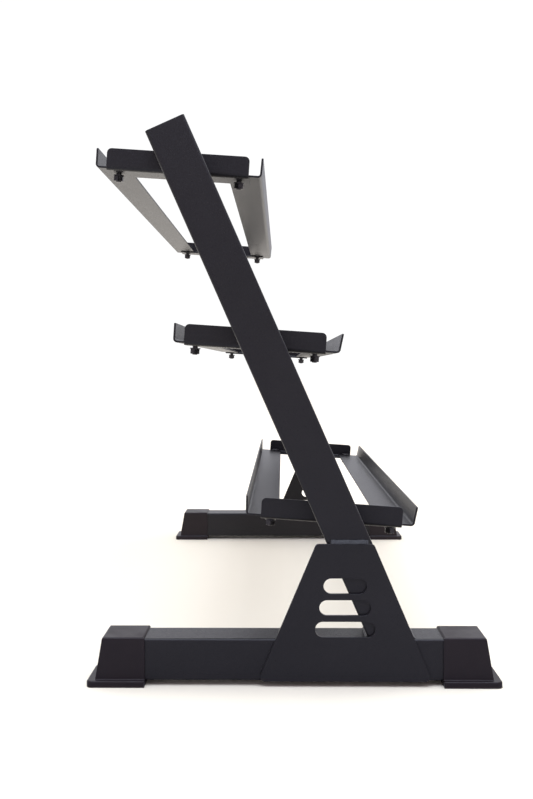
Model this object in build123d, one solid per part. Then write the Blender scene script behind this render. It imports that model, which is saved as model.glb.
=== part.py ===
from build123d import *
import os
from math import cos, radians, sin, tan

# A three-shelf dumbbell rack: two welded side frames of square tube, joined by six pressed
# steel shelf rails that are bolted to short angle brackets.
# Frame: X runs along the rack, -Y is the front (the user's side), +Z is up.
# The origin is on the floor, at the centre of the rack's footprint.  Millimetres throughout.

# ---------------------------------------------------------------- driving dimensions

tube_size = 60.0            # square tube of the side frames, across flats
tube_wall = 2.5
tube_corner = 4.0           # outside corner radius of the tube

frame_spacing = 1120.0      # centre plane to centre plane of the two side frames
base_clearance = 8.0        # gap between the floor and the base tube
base_tube_length = 536.0

lean = 23.6                 # the uprights lean back by this many degrees
upright_foot_reach = 139.5  # from the rack's centre forward to the upright's axis at its foot
upright_height = 798.0      # along the upright's axis, from the base tube to the cap's top

cap_flange = 2.5            # end cap: thickness of its visible flange
cap_edge_round = 1.0
cap_skirt_depth = 14.0
cap_skirt_wall = 2.5

gusset_thickness = 4.5
gusset_reach = 73.0         # from the rack's centre forward to the gusset's own centre line
gusset_top_width = 82.0
gusset_bottom_width = 249.0
gusset_height = 197.0
gusset_top_corner = 6.0
gusset_bottom_corner = 7.0
gusset_slot_count = 3
gusset_slot_height = 22.0
gusset_slot_pitch = 31.0
gusset_first_slot = 75.0    # height of the lowest slot's middle above the plate's bottom edge
gusset_slot_share = 0.46    # each slot's length as a share of the plate's width there

foot_wall = 2.5             # moulded boot around the base tube
foot_inner_reach = 213.4    # from the rack's centre to the boot's inner end
foot_length_top = 60.5
foot_half_depth = 296.5     # from the rack's centre to the foot's outermost edge
foot_end_slope = 9.8        # the boot's end face leans out by this many degrees
foot_edge_round = 3.0
foot_lip_height = 9.5
foot_lip_width = 6.5        # how far the lip stands out beyond the boot's sides
foot_lip_corner = 8.0
foot_lip_round = 2.5
foot_cove = 2.0             # hollow fillet where the boot's sides meet the lip

shelves = ("lower", "middle", "top")
shelf_first_height = 223.5  # floor to the underside of the lowest bracket, at its middle
shelf_pitch = 258.0
shelf_tilt = 4.0            # the front edge of each shelf is the lower one
shelf_setback = 7.0         # a shelf's middle lies this far behind the upright's axis

sheet_thickness = 3.0       # brackets and rails
bend_radius = 3.0           # inside radius of every bend
edge_round = 0.7            # cut edges of sheet and plate, softened by their coating

bracket_length = 210.0
bracket_height = 31.5
bracket_depth = 50.0
bracket_corner = 7.0
bracket_toe_corner = 3.0

rail_width = 50.0
rail_lip_height = 29.0
rail_lip_corner = 2.0
rail_spread = 248.0         # nominal, outside to outside of a shelf's two lips
rail_end_gap = 3.5          # rail's end to the bracket's wall, clear of the bracket's bend

# How far each rail's lip leans out from square, in degrees.
lip_lean = {
    "lower": {"rear": 3.0, "front": 8.0},
    "middle": {"rear": 0.0, "front": 8.0},
    "top": {"rear": 0.0, "front": 2.0},
}

# How far each rail sits outside its nominal place: the rails were bolted up by hand.
rail_shift = {
    "lower": {"rear": 3.5, "front": 0.0},
    "middle": {"rear": -2.0, "front": 2.5},
    "top": {"rear": -2.0, "front": 0.0},
}

bolt_diameter = 8.0
bolt_tip_chamfer = 0.8
bolt_hole = 9.0
bolt_offset = 90.0          # from the shelf's middle to each bolt
bolt_head_diameter = 16.0
bolt_head_height = 4.4
bolt_head_round = 2.0
bolt_socket_width = 5.0     # hexagon socket, across flats
bolt_socket_depth = 2.6
bolt_slack = 3.0            # bare shank between the bracket and the washer
bolt_end = 1.2              # shank standing out below the nut
washer_diameter = 16.0
washer_hole = 8.4
washer_thickness = 1.6
nut_width = 13.0            # across flats
nut_height = 7.4
nut_hole = 8.1
nut_chamfer = 0.9

# ---------------------------------------------------------------- derived places

base_top = base_clearance + tube_size
tube_bore = tube_size - 2 * tube_wall
frame_x = frame_spacing / 2
frame_inner_x = frame_x - tube_size / 2
frame_outer_x = frame_x + tube_size / 2
bolt_x = frame_inner_x - bracket_depth / 2
rail_length = 2 * (frame_inner_x - sheet_thickness - rail_end_gap)
clamped_height = 2 * sheet_thickness        # rail and bracket together
washer_drop = clamped_height + bolt_slack + washer_thickness
upright_direction = (0, sin(radians(lean)), cos(radians(lean)))


def upright_axis_y(height):
    """Y of an upright's axis at a height above the floor."""
    return -upright_foot_reach + (height - base_top) * tan(radians(lean))


def shelf_location(index):
    """Tilted frame of a shelf: its origin lies under the brackets' middle."""
    height = shelf_first_height + index * shelf_pitch
    axis_y = upright_axis_y(height + bracket_height / 2)
    y = axis_y + shelf_setback + bracket_height / 2 * sin(radians(shelf_tilt))
    return Location((0, y, height), (shelf_tilt, 0, 0))


# ---------------------------------------------------------------- side frames
# Every piece of a side frame is drawn for the left frame and mirrored for the right one.

def tube_outline():
    return RectangleRounded(tube_size, tube_size, tube_corner)


def tube_bore_outline():
    return RectangleRounded(tube_bore, tube_bore, tube_corner - tube_wall)


def base_tube_plane(y):
    """Plane square to the left base tube, at a distance from the rack's centre."""
    return Plane((-frame_x, y, base_clearance + tube_size / 2), x_dir=(1, 0, 0), z_dir=(0, 1, 0))


def make_base_tube():
    section = tube_outline() - tube_bore_outline()
    return extrude(base_tube_plane(0) * section, base_tube_length / 2, both=True)


def upright_plane(distance):
    """Plane square to the left upright, at a distance along its axis from the base tube."""
    foot = Plane((-frame_x, -upright_foot_reach, base_top), x_dir=(1, 0, 0), z_dir=upright_direction)
    return foot.offset(distance)


def make_upright():
    """Tube drawn past the base tube, then cut level so that it sits on it."""
    section = tube_outline() - tube_bore_outline()
    tube = extrude(upright_plane(-tube_size) * section, tube_size + upright_height - cap_flange)
    return split(tube, Plane.XY.offset(base_top), keep=Keep.TOP)


def make_upright_cap():
    """Push-in cap: a flange flush with the tube, and a hollow skirt inside it."""
    seat = upright_plane(upright_height - cap_flange)
    flange = extrude(seat * tube_outline(), cap_flange)
    top_face = flange.faces().sort_by(Axis((0, 0, 0), upright_direction))[-1]
    flange = fillet(top_face.edges(), cap_edge_round)
    skirt_inside = tube_bore - 2 * cap_skirt_wall
    skirt = tube_bore_outline() - Rectangle(skirt_inside, skirt_inside)
    return flange + extrude(seat * skirt, -cap_skirt_depth)


def gusset_width(height):
    """Width of the gusset at a height above its bottom edge."""
    taper = (gusset_bottom_width - gusset_top_width) / gusset_height
    return gusset_bottom_width - taper * height


def make_gusset():
    """Flat plate over the joint of base tube and upright, lightened by rounded slots."""
    half_top = gusset_top_width / 2
    half_bottom = gusset_bottom_width / 2
    corners = [(-half_bottom, 0), (half_bottom, 0), (half_top, gusset_height), (-half_top, gusset_height)]
    outline = make_face(Polyline(*corners, close=True))
    outline = fillet(outline.vertices().group_by(Axis.Y)[0], gusset_bottom_corner)
    outline = fillet(outline.vertices().group_by(Axis.Y)[-1], gusset_top_corner)
    for row in range(gusset_slot_count):
        height = gusset_first_slot + row * gusset_slot_pitch
        slot = SlotOverall(gusset_slot_share * gusset_width(height), gusset_slot_height)
        outline -= Pos(0, height) * slot
    plane = Plane((-frame_outer_x, -gusset_reach, base_clearance), x_dir=(0, -1, 0), z_dir=(-1, 0, 0))
    plate = extrude(plane * outline, gusset_thickness)
    outer_face = plate.faces().sort_by(Axis.X)[0]
    return fillet(outer_face.edges(), edge_round)


def make_rear_foot():
    """Moulded boot over the rear end of the left base tube, with a lip round its bottom."""
    top = base_top + foot_wall
    top_end = foot_inner_reach + foot_length_top
    bottom_end = top_end + top * tan(radians(foot_end_slope))
    half_width = tube_size / 2 + foot_wall

    outline = [(foot_inner_reach, 0), (foot_inner_reach, top), (top_end, top), (bottom_end, 0)]
    body = extrude(Plane.YZ * make_face(Polyline(*outline, close=True)), half_width, both=True)
    body = fillet(body.faces().sort_by(Axis.Z)[-1].edges(), foot_edge_round)

    lip_half_width = half_width + foot_lip_width
    lip_corners = [
        (lip_half_width, foot_inner_reach),
        (lip_half_width, foot_half_depth),
        (-lip_half_width, foot_half_depth),
        (-lip_half_width, foot_inner_reach),
    ]
    lip_outline = make_face(Polyline(*lip_corners, close=True))
    lip_outline = fillet(lip_outline.vertices().group_by(Axis.Y)[-1], foot_lip_corner)
    lip = extrude(lip_outline, foot_lip_height)
    rim = lip.faces().sort_by(Axis.Z)[-1].edges().sort_by(Axis.Y)[1:]
    lip = fillet(rim, foot_lip_round)

    boot = body + lip
    joint = [edge for edge in boot.edges().filter_by_position(Axis.Z, foot_lip_height, foot_lip_height)
             if edge.center().Y > foot_inner_reach and abs(edge.center().X) < half_width + 0.01]
    boot = Pos(-frame_x, 0, 0) * fillet(joint, foot_cove)
    pocket = extrude(base_tube_plane(0) * tube_outline(), base_tube_length / 2)
    return boot - pocket


# ---------------------------------------------------------------- shelves
# Brackets, rails and fasteners are drawn in the shelf's own level frame, then tilted into place.

def angle_section(width, height, lip_lean_angle=0.0):
    """Bent sheet in section: a flat flange ending at X = 0 in a lip that rises along Y."""
    out = tan(radians(lip_lean_angle))
    across = sheet_thickness / cos(radians(lip_lean_angle))
    heel = (0, 0)
    inner_heel = (sheet_thickness * out - across, sheet_thickness)
    lip_top = (height * out, height)
    lip_inner_top = (lip_top[0] - sheet_thickness * cos(radians(lip_lean_angle)),
                     height + sheet_thickness * sin(radians(lip_lean_angle)))
    points = [(-width, 0), heel, lip_top, lip_inner_top, inner_heel, (-width, sheet_thickness)]
    section = make_face(Polyline(*points, close=True))
    section = fillet(section.vertices().sort_by_distance(heel)[0], bend_radius + sheet_thickness)
    return fillet(section.vertices().sort_by_distance(inner_heel)[0], bend_radius)


def bolt_holes(positions):
    """Cutters for the bolt holes, reaching well past rail and bracket."""
    return [Pos(x, y, 0) * Cylinder(bolt_hole / 2, 3 * clamped_height) for x, y in positions]


def is_thickness(edge):
    """True for a short edge that crosses the sheet from one skin to the other."""
    return abs(edge.length - sheet_thickness) < 0.01


def soften_rim(bent_sheet):
    """Rounds the edges all round a bent sheet, where its cut faces meet its two skins."""
    rim = []
    for face in bent_sheet.faces():
        if any(is_thickness(edge) for edge in face.edges()):
            rim += [edge for edge in face.edges() if not is_thickness(edge)]
    return fillet(rim, edge_round)


def make_bracket():
    """Left bracket: one flange against the upright's inner face, one level to carry the rails."""
    plane = Plane((-frame_inner_x, 0, 0), x_dir=(-1, 0, 0), z_dir=(0, 1, 0))
    bracket = extrude(plane * angle_section(bracket_depth, bracket_height), bracket_length / 2, both=True)
    top_corners = bracket.edges().filter_by(Axis.X).group_by(Axis.Z)[-1]
    bracket = fillet(top_corners, bracket_corner)
    toe_corners = bracket.edges().filter_by(Axis.Z).group_by(Axis.X)[-1]
    bracket = soften_rim(fillet(toe_corners, bracket_toe_corner))
    return bracket - bolt_holes([(-bolt_x, -bolt_offset), (-bolt_x, bolt_offset)])


def make_rail(shelf, end):
    """Long angle lying on the brackets' flanges, with its lip along the shelf's outer edge."""
    sign = -1 if end == "front" else 1
    reach = rail_spread / 2 + rail_shift[shelf][end]
    plane = Plane((0, sign * reach, sheet_thickness), x_dir=(0, sign, 0), z_dir=(sign, 0, 0))
    section = angle_section(rail_width, rail_lip_height, lip_lean[shelf][end])
    rail = extrude(plane * section, rail_length / 2, both=True)
    lip_corners = rail.edges().filter_by(is_thickness).sort_by(Axis.Z)[-2:]
    rail = soften_rim(fillet(lip_corners, rail_lip_corner))
    return rail - bolt_holes([(-bolt_x, sign * bolt_offset), (bolt_x, sign * bolt_offset)])


def make_bolt():
    """Low-headed bolt: origin under its head, shank down."""
    head = extrude(Circle(bolt_head_diameter / 2), bolt_head_height)
    head = fillet(head.edges().group_by(Axis.Z)[-1], bolt_head_round)
    socket = extrude(RegularPolygon(bolt_socket_width / 2, 6, major_radius=False), -bolt_socket_depth)
    head -= Pos(0, 0, bolt_head_height) * socket
    shank = extrude(Circle(bolt_diameter / 2), -(washer_drop + nut_height + bolt_end))
    shank = chamfer(shank.edges().group_by(Axis.Z)[0], bolt_tip_chamfer)
    return head + shank


def make_washer():
    ring = Circle(washer_diameter / 2) - Circle(washer_hole / 2)
    return Pos(0, 0, -washer_drop) * extrude(ring, washer_thickness)


def make_nut():
    """Hexagon nut hanging from the washer, its corners turned off top and bottom."""
    hexagon = RegularPolygon(nut_width / 2, 6, major_radius=False)
    corner_reach = nut_width / 2 / cos(radians(30))
    blank = extrude(Circle(corner_reach), -nut_height)
    blank = chamfer(blank.edges().filter_by(GeomType.CIRCLE), nut_chamfer)
    nut = extrude(hexagon - Circle(nut_hole / 2), -nut_height) & blank
    return Pos(0, 0, -washer_drop) * nut


def four_times(piece, index):
    """The four copies of a fastener that one shelf needs, as separate solids."""
    copies = []
    for x in (-bolt_x, bolt_x):
        for y in (-bolt_offset, bolt_offset):
            place = shelf_location(index) * Pos(x, y, clamped_height)
            copies.append(place * piece)
    return Compound(children=copies)


# ---------------------------------------------------------------- assembly

nodes = {}

left_frame = {
    "base_tube": make_base_tube(),
    "upright": make_upright(),
    "upright_cap": make_upright_cap(),
    "gusset": make_gusset(),
    "foot_rear": make_rear_foot(),
    "foot_front": mirror(make_rear_foot(), about=Plane.XZ),
}
for index, shelf in enumerate(shelves):
    left_frame[f"bracket_{shelf}"] = shelf_location(index) * make_bracket()

for name, piece in left_frame.items():
    nodes[f"{name}_left"] = piece
    nodes[f"{name}_right"] = mirror(piece, about=Plane.YZ)

for index, shelf in enumerate(shelves):
    for end in ("front", "rear"):
        nodes[f"rail_{shelf}_{end}"] = shelf_location(index) * make_rail(shelf, end)
    nodes[f"bolts_{shelf}"] = four_times(make_bolt(), index)
    nodes[f"washers_{shelf}"] = four_times(make_washer(), index)
    nodes[f"nuts_{shelf}"] = four_times(make_nut(), index)

os.makedirs("parts", exist_ok=True)
for name, piece in nodes.items():
    export_step(piece, f"parts/{name}.step")
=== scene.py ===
from math import cos, pi, radians, sin, sqrt, tan

import bmesh
import bpy
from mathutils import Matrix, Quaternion, Vector


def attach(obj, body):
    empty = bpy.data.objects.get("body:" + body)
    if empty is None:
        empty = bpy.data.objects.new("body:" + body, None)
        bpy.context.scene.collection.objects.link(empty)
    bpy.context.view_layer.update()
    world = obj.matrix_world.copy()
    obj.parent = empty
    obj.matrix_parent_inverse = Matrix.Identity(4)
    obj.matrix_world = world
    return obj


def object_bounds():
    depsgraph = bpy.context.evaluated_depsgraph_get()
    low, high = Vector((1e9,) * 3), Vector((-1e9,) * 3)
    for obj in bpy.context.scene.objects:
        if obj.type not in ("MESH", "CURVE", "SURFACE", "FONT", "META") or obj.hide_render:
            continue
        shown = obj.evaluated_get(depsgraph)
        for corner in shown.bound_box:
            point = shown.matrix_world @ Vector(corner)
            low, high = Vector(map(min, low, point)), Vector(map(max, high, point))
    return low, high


# The looks of a three-shelf dumbbell rack: powder coat, moulded plastic, blackened fasteners
# and the weld beads that join its side frames.
# X runs along the rack, -Y is the front, +Z is up.  Metres throughout.

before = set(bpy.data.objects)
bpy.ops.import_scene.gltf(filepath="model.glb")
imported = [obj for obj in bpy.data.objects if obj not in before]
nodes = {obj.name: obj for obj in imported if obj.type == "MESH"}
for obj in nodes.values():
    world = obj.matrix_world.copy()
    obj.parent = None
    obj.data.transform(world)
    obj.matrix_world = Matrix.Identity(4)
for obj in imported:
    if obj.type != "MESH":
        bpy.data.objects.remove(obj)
cad_low, cad_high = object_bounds()

# ---------------------------------------------------------------- driving dimensions

tube_size = 0.060
tube_centre_x = 0.560               # from the rack's centre to each side frame's centre plane
tube_corner = 0.004
lean = radians(23.6)                # the uprights lean back from vertical
base_top = 0.068
upright_foot_reach = 0.1395         # from the rack's centre forward to the upright's axis at its foot
gusset_bottom = 0.008
gusset_height = 0.197

shelf_names = ("lower", "middle", "top")
shelf_tilt = radians(4.0)           # each shelf's front edge is the lower one
shelf_first_height = 0.2235
shelf_pitch = 0.258
shelf_setback = 0.007               # a shelf's middle lies this far behind the upright's axis
bracket_height = 0.0315

weld_pitch = 0.0024                 # one ripple of a weld bead
weld_steps = 6                      # rings of mesh to a ripple
weld_points = 11                    # points across a bead's face
weld_ripple = 0.05                  # depth of a ripple as a share of the bead's size
weld_fullness = 0.08                # 0 is a flat face, 1 a quarter circle
weld_taper = 0.0028                 # length over which each end closes
weld_root = 0.3                     # how far a bead reaches behind its corner, as a share of its legs

# Each pair holds the legs of a bead along the two surfaces that it joins.
gusset_top_legs = (0.0045, 0.0061)
gusset_inner_legs = (0.0065, 0.0045)
bracket_over_legs = (0.0028, 0.0042)
bracket_under_legs = (0.0062, 0.0042)
upright_front_leg = 0.0022
upright_rear_leg = 0.0050
gusset_rear_span = (0.160, 0.196)   # lowest and highest point of the stitch behind the upright
gusset_base_span = (-0.026, 0.014)  # front and rear end of the stitch on the base tube

camera_distance = 1.304             # from the near end of the rack
camera_height = 0.4598
camera_side_step = 0.0152           # towards the rear of the rack
camera_pitch = radians(2.165)       # down
camera_yaw = radians(0.983)         # towards the rear of the rack
camera_roll = radians(0.18)
camera_lens = 41.9                  # millimetres, on a long side of 36

floor_radius = 30.0
floor_glow = 0.36                   # strength of the floor's glow, away from the rack
glow_start, glow_full = 0.62, 1.6   # distances from the rack's centre

# A grey card on the floor, seen only in reflections: a painted dark reflection under and before the
# rack's near end.
flag_length = 4.0
flag_width = 6.0
flag_height = 0.002
flag_inset = 0.034                  # how far the card reaches under the rack's near end
painted_reflection_colour = (0.42, 0.42, 0.45)

near_side_light = (0.52, 0.46, 0.56)
far_side_light = (1.00, 1.00, 1.07)
overhead_light = (0.10, 0.10, 0.10)
backdrop_strength = 1.05            # the white that only the camera sees

# Name, place, target, width, length, power in watts and colour of each softbox.
softboxes = (
    ("overhead", (0.4, 0.0, 3.2), (0.2, 0.0, 0.0), 4.0, 3.2, 36.0, (1.0, 0.97, 0.91)),
    ("over_near_end", (-1.4, 0.0, 3.0), (-0.8, 0.0, 0.2), 2.6, 3.0, 90.0, (0.72, 0.81, 1.0)),
)


# ---------------------------------------------------------------- material helpers

def new_material(name):
    """A material with an empty Principled shader.  Returns the material, its tree and the shader."""
    material = bpy.data.materials.new(name)
    material.use_nodes = True
    return material, material.node_tree, material.node_tree.nodes["Principled BSDF"]


def add_node(tree, kind, **settings):
    """A node with attributes or sockets set by name, with spaces written as underscores."""
    node = tree.nodes.new(kind)
    for name, value in settings.items():
        socket = node.inputs.get(name.replace("_", " "))
        if socket is not None:
            socket.default_value = value
        else:
            setattr(node, name, value)
    return node


def place_of(tree):
    """The surface's place on the rack, in metres."""
    return add_node(tree, "ShaderNodeTexCoord").outputs["Object"]


def noise(tree, place, size, detail=2.0, roughness=0.5):
    """Noise whose features are about size metres across."""
    node = add_node(tree, "ShaderNodeTexNoise", Scale=1.0 / size, Detail=detail, Roughness=roughness)
    tree.links.new(place, node.inputs["Vector"])
    return node.outputs["Fac"]


def cells(tree, place, size):
    """Rounded grains about size metres across."""
    node = add_node(tree, "ShaderNodeTexVoronoi", Scale=1.0 / size, feature="SMOOTH_F1", Smoothness=0.6)
    tree.links.new(place, node.inputs["Vector"])
    return node.outputs["Distance"]


def spread(tree, source, low, high, start=0.3, end=0.7):
    """Stretches a noise value to the range low to high."""
    node = add_node(tree, "ShaderNodeMapRange")
    node.inputs["From Min"].default_value = start
    node.inputs["From Max"].default_value = end
    node.inputs["To Min"].default_value = low
    node.inputs["To Max"].default_value = high
    tree.links.new(source, node.inputs["Value"])
    return node.outputs["Result"]


def two_colours(tree, source, first, second):
    """A blend from the first colour to the second along a value."""
    ramp = tree.nodes.new("ShaderNodeValToRGB")
    ramp.color_ramp.elements[0].position, ramp.color_ramp.elements[0].color = 0.3, (*first, 1.0)
    ramp.color_ramp.elements[1].position, ramp.color_ramp.elements[1].color = 0.7, (*second, 1.0)
    tree.links.new(source, ramp.inputs["Fac"])
    return ramp.outputs["Color"]


def bump(tree, height, depth, strength=1.0, under=None):
    """Relief of the given depth in metres, laid over another relief."""
    node = add_node(tree, "ShaderNodeBump", Strength=strength, Distance=depth)
    tree.links.new(height, node.inputs["Height"])
    if under is not None:
        tree.links.new(under, node.inputs["Normal"])
    return node.outputs["Normal"]


# ---------------------------------------------------------------- materials

def make_powder_coat():
    """Satin black powder coat with a fine sandy texture over a gentle orange peel."""
    material, tree, shader = new_material("powder_coat")
    place = place_of(tree)
    grain = noise(tree, place, 0.0016, detail=3.0, roughness=0.7)
    peel = noise(tree, place, 0.0045, detail=2.0)
    cloud = noise(tree, place, 0.09, detail=3.0)
    tree.links.new(two_colours(tree, cloud, (0.0088, 0.0082, 0.0100), (0.0112, 0.0104, 0.0126)),
                   shader.inputs["Base Color"])
    tree.links.new(spread(tree, grain, 0.26, 0.45), shader.inputs["Roughness"])
    relief = bump(tree, peel, 0.00022, 0.9)
    tree.links.new(bump(tree, grain, 0.00022, 1.0, relief), shader.inputs["Normal"])
    shader.inputs["IOR"].default_value = 1.38
    return material


def make_moulded_plastic(name, first, second, roughness):
    """Smooth black moulded plastic with a fine spark-eroded skin."""
    material, tree, shader = new_material(name)
    place = place_of(tree)
    skin = cells(tree, place, 0.0008)
    sink = noise(tree, place, 0.035, detail=2.0)
    tree.links.new(two_colours(tree, sink, first, second), shader.inputs["Base Color"])
    tree.links.new(spread(tree, sink, roughness - 0.05, roughness + 0.07), shader.inputs["Roughness"])
    relief = bump(tree, sink, 0.0004, 0.3)
    tree.links.new(bump(tree, skin, 0.00005, 0.4, relief), shader.inputs["Normal"])
    shader.inputs["IOR"].default_value = 1.37
    return material


def make_black_steel():
    """Blackened steel of the fasteners, oily and slightly uneven."""
    material, tree, shader = new_material("black_steel")
    place = place_of(tree)
    patch = noise(tree, place, 0.003, detail=3.0)
    scratch = noise(tree, place, 0.0006, detail=2.0)
    tree.links.new(two_colours(tree, patch, (0.030, 0.029, 0.031), (0.075, 0.072, 0.074)),
                   shader.inputs["Base Color"])
    tree.links.new(spread(tree, patch, 0.26, 0.42), shader.inputs["Roughness"])
    tree.links.new(bump(tree, scratch, 0.00003, 0.5), shader.inputs["Normal"])
    shader.inputs["Metallic"].default_value = 0.85
    return material


def make_floor_paint():
    """Cream paint that glows a little from some way off the rack outwards."""
    material, tree, shader = new_material("floor_paint")
    place = place_of(tree)
    cloud = noise(tree, place, 1.5, detail=1.0)
    tree.links.new(two_colours(tree, cloud, (0.94, 0.882, 0.715), (0.96, 0.902, 0.735)),
                   shader.inputs["Base Color"])
    shader.inputs["Roughness"].default_value = 0.7
    shader.inputs["Specular IOR Level"].default_value = 0.2
    distance = add_node(tree, "ShaderNodeVectorMath", operation="LENGTH")
    tree.links.new(place, distance.inputs[0])
    tree.links.new(spread(tree, distance.outputs["Value"], 0.0, floor_glow, glow_start, glow_full),
                   shader.inputs["Emission Strength"])
    shader.inputs["Emission Color"].default_value = (1.0, 1.0, 1.0, 1.0)
    return material


def dress_nodes(powder_coat):
    """Gives every CAD node its material."""
    foot_plastic = make_moulded_plastic("foot_plastic", (0.0090, 0.0048, 0.0068),
                                        (0.0116, 0.0068, 0.0090), 0.42)
    cap_plastic = make_moulded_plastic("cap_plastic", (0.0096, 0.0092, 0.0110),
                                       (0.0124, 0.0118, 0.0138), 0.45)
    black_steel = make_black_steel()
    for name, node in nodes.items():
        if name.startswith("foot_"):
            material = foot_plastic
        elif name.startswith("upright_cap_"):
            material = cap_plastic
        elif name.split("_")[0] in ("bolts", "washers", "nuts"):
            material = black_steel
        else:
            material = powder_coat
        node.data.materials.clear()
        node.data.materials.append(material)


# ---------------------------------------------------------------- weld beads

def upright_axis_y(height):
    """Y of an upright's axis at a height above the floor."""
    return -upright_foot_reach + (height - base_top) * tan(lean)


def weld_bead(name, start, end, side_a, side_b, material):
    """A rippled fillet weld from start to end.  side_a and side_b run out from its corner along the
    two surfaces that it joins, and their lengths are the bead's legs."""
    start, end = Vector(start), Vector(end)
    side_a, side_b = Vector(side_a), Vector(side_b)
    length = (end - start).length
    along = (end - start) / length
    ring_count = max(8, int(length / weld_pitch * weld_steps))
    phase = 40.0 * (start.y + start.z)
    bead = bmesh.new()
    rings = []
    for step in range(1, ring_count):
        distance = length * step / ring_count
        edge = min(distance, length - distance, weld_taper) / weld_taper
        size = sqrt(1.0 - (1.0 - edge) ** 2)
        size *= (1.0 + 0.04 * sin(310.0 * distance + phase)
                 + 0.01 * sin(870.0 * distance + 2.0 * phase))
        ring = [bead.verts.new(start + along * distance - weld_root * (side_a + side_b) * size)]
        for point in range(weld_points):
            angle = pi / 2 * point / (weld_points - 1)
            flat = 1.0 / (cos(angle) + sin(angle))
            reach = flat + (1.0 - flat) * weld_fullness
            travel = (distance / weld_pitch + 0.35 * sin(2.0 * angle)) % 1.0
            reach *= 1.0 - weld_ripple * abs(2.0 * travel - 1.0) ** 2.5 * sin(2.0 * angle) ** 0.5
            out = side_a * cos(angle) + side_b * sin(angle)
            ring.append(bead.verts.new(start + along * distance + out * reach * size))
        rings.append(ring)
    for ring, following in zip(rings, rings[1:]):
        for a in range(len(ring)):
            b = (a + 1) % len(ring)
            bead.faces.new((ring[a], ring[b], following[b], following[a]))
    bead.faces.new(reversed(rings[0]))
    bead.faces.new(rings[-1])
    bmesh.ops.recalc_face_normals(bead, faces=bead.faces)
    mesh = bpy.data.meshes.new(name)
    bead.to_mesh(mesh)
    bead.free()
    mesh.shade_smooth()
    mesh.materials.append(material)
    piece = bpy.data.objects.new(name, mesh)
    bpy.context.scene.collection.objects.link(piece)
    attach(piece, "root")


def weld_gusset(side, x_sign, material):
    """The bead along the gusset's top edge, and two stitches behind the gusset."""
    outer_x = x_sign * (tube_centre_x + tube_size / 2)
    inward = Vector((-x_sign, 0.0, 0.0))
    backward = Vector((0.0, cos(lean), -sin(lean)))
    flat = (tube_size / 2 - tube_corner) / cos(lean)
    top = gusset_bottom + gusset_height
    middle = upright_axis_y(top)
    out_leg, up_leg = gusset_top_legs
    weld_bead(f"weld_gusset_top_{side}", (outer_x, middle - flat, top), (outer_x, middle + flat, top),
              -inward * out_leg, (0.0, 0.0, up_leg), material)
    in_leg, out_leg = gusset_inner_legs
    ends = [(outer_x, upright_axis_y(z) + tube_size / 2 / cos(lean), z) for z in gusset_rear_span]
    weld_bead(f"weld_gusset_rear_{side}", *ends, inward * in_leg, backward * out_leg, material)
    ends = [(outer_x, y, base_top) for y in gusset_base_span]
    weld_bead(f"weld_gusset_base_{side}", *ends, inward * in_leg, (0.0, 0.0, out_leg), material)


def weld_foot(side, x_sign, material):
    """Beads in front of and behind the upright's foot, on the base tube."""
    up = Vector((0.0, sin(lean), cos(lean)))
    flat = tube_size / 2 - tube_corner
    for place, sign, leg in (("front", -1, upright_front_leg), ("rear", 1, upright_rear_leg)):
        y = -upright_foot_reach + sign * tube_size / 2 / cos(lean)
        weld_bead(f"weld_upright_{place}_{side}", (x_sign * tube_centre_x - flat, y, base_top),
                  (x_sign * tube_centre_x + flat, y, base_top), (0.0, sign * leg, 0.0),
                  up * leg, material)


def weld_brackets(side, x_sign, material):
    """Beads over and under each bracket, across the upright's inner face."""
    inner_x = x_sign * (tube_centre_x - tube_size / 2)
    inward = Vector((-x_sign, 0.0, 0.0))
    across = Vector((0.0, cos(shelf_tilt), sin(shelf_tilt)))
    up = Vector((0.0, -sin(shelf_tilt), cos(shelf_tilt)))
    flat = (tube_size / 2 - tube_corner) / cos(lean)
    for index, shelf in enumerate(shelf_names):
        height = shelf_first_height + index * shelf_pitch
        half = bracket_height / 2
        origin = Vector((inner_x, upright_axis_y(height + half) + shelf_setback + half * sin(shelf_tilt),
                         height))
        for place, rise, sign, legs in (("over", bracket_height, 1, bracket_over_legs),
                                        ("under", 0.0, -1, bracket_under_legs)):
            start = origin + up * rise
            gap = start.y - upright_axis_y(start.z)
            slide = across.y - across.z * tan(lean)
            ends = [start + across * ((reach - gap) / slide) for reach in (-flat, flat)]
            weld_bead(f"weld_bracket_{shelf}_{place}_{side}", *ends, inward * legs[0],
                      up * sign * legs[1], material)


def make_welds(material):
    for side, x_sign in (("left", -1), ("right", 1)):
        weld_gusset(side, x_sign, material)
        weld_foot(side, x_sign, material)
        weld_brackets(side, x_sign, material)


powder_coat = make_powder_coat()
dress_nodes(powder_coat)
make_welds(powder_coat)


# ---------------------------------------------------------------- stage, light and camera

def make_floor():
    bpy.ops.mesh.primitive_circle_add(vertices=96, radius=floor_radius, fill_type="NGON")
    floor = bpy.context.object
    floor.name = "floor"
    floor.data.materials.append(make_floor_paint())


def make_painted_reflection_card():
    """A grey card on the floor before the near end, seen only in gloss: a painted dark reflection that
    keeps that end dark. It casts no shadow and sends no bounce light.
    """
    bpy.ops.mesh.primitive_plane_add(size=1.0)
    flag = bpy.context.object
    flag.name = "flag"
    flag.scale = (flag_length, flag_width, 1.0)
    flag.location = (cad_low.x + flag_inset - flag_length / 2, 0.0, flag_height)
    # This grey is a painted dark reflection: only the rack's gloss sees it.
    material, _, shader = new_material("painted_dark_reflection")
    shader.inputs["Base Color"].default_value = (*painted_reflection_colour, 1.0)
    shader.inputs["Roughness"].default_value = 0.9
    flag.data.materials.append(material)
    flag.visible_camera = False
    flag.visible_diffuse = False
    flag.visible_shadow = False


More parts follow.
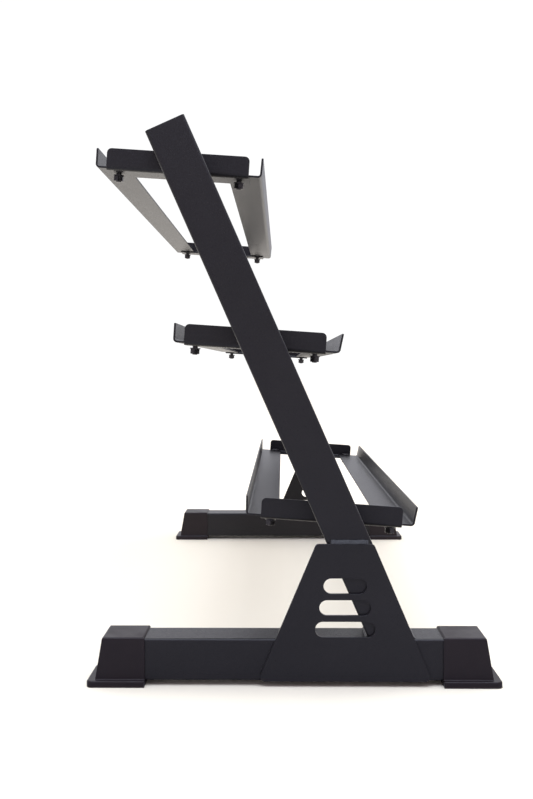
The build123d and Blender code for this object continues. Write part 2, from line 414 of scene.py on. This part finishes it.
def make_world():
    """White all round to look at; as light it is brightest beyond the far end of the rack."""
    world = bpy.data.worlds.new("studio")
    bpy.context.scene.world = world
    world.use_nodes = True
    tree = world.node_tree
    tree.nodes.clear()
    split = tree.nodes.new("ShaderNodeSeparateXYZ")
    tree.links.new(add_node(tree, "ShaderNodeTexCoord").outputs["Generated"], split.inputs["Vector"])
    round_about = add_node(tree, "ShaderNodeBackground")
    tree.links.new(two_colours(tree, spread(tree, split.outputs["X"], 0.0, 1.0, -1.0, 1.0),
                               near_side_light, far_side_light), round_about.inputs["Color"])
    overhead = add_node(tree, "ShaderNodeBackground", Color=(*overhead_light, 1.0))
    tree.links.new(spread(tree, split.outputs["Z"], 0.0, 1.0, 0.25, 1.0), overhead.inputs["Strength"])
    light = tree.nodes.new("ShaderNodeAddShader")
    tree.links.new(round_about.outputs["Background"], light.inputs[0])
    tree.links.new(overhead.outputs["Background"], light.inputs[1])
    seen = add_node(tree, "ShaderNodeBackground", Color=(1.0, 1.0, 1.0, 1.0),
                    Strength=backdrop_strength)
    path = tree.nodes.new("ShaderNodeLightPath")
    mix = tree.nodes.new("ShaderNodeMixShader")
    output = tree.nodes.new("ShaderNodeOutputWorld")
    tree.links.new(path.outputs["Is Camera Ray"], mix.inputs["Fac"])
    tree.links.new(light.outputs["Shader"], mix.inputs[1])
    tree.links.new(seen.outputs["Background"], mix.inputs[2])
    tree.links.new(mix.outputs["Shader"], output.inputs["Surface"])


def add_softbox(name, place, target, width, length, power, colour):
    """A rectangular light that the camera doesn't see."""
    data = bpy.data.lights.new(name, "AREA")
    data.shape = "RECTANGLE"
    data.size, data.size_y = width, length
    data.energy = power
    data.color = colour
    lamp = bpy.data.objects.new(name, data)
    bpy.context.scene.collection.objects.link(lamp)
    lamp.location = place
    lamp.rotation_mode = "QUATERNION"
    lamp.rotation_quaternion = (Vector(target) - Vector(place)).to_track_quat("-Z", "Y")
    lamp.visible_camera = False


def make_camera():
    data = bpy.data.cameras.new("camera")
    data.lens = camera_lens
    data.sensor_width = 36.0
    camera = bpy.data.objects.new("camera", data)
    bpy.context.scene.collection.objects.link(camera)
    camera.location = (cad_low.x - camera_distance, camera_side_step, camera_height)
    ahead = Vector((cos(camera_pitch) * cos(camera_yaw), cos(camera_pitch) * sin(camera_yaw),
                    -sin(camera_pitch)))
    camera.rotation_mode = "QUATERNION"
    camera.rotation_quaternion = (ahead.to_track_quat("-Z", "Y")
                                  @ Quaternion((0.0, 0.0, 1.0), -camera_roll))
    bpy.context.scene.camera = camera


make_floor()
make_painted_reflection_card()
make_world()
for softbox in softboxes:
    add_softbox(*softbox)
make_camera()
bpy.context.scene.view_settings.view_transform = "Standard"
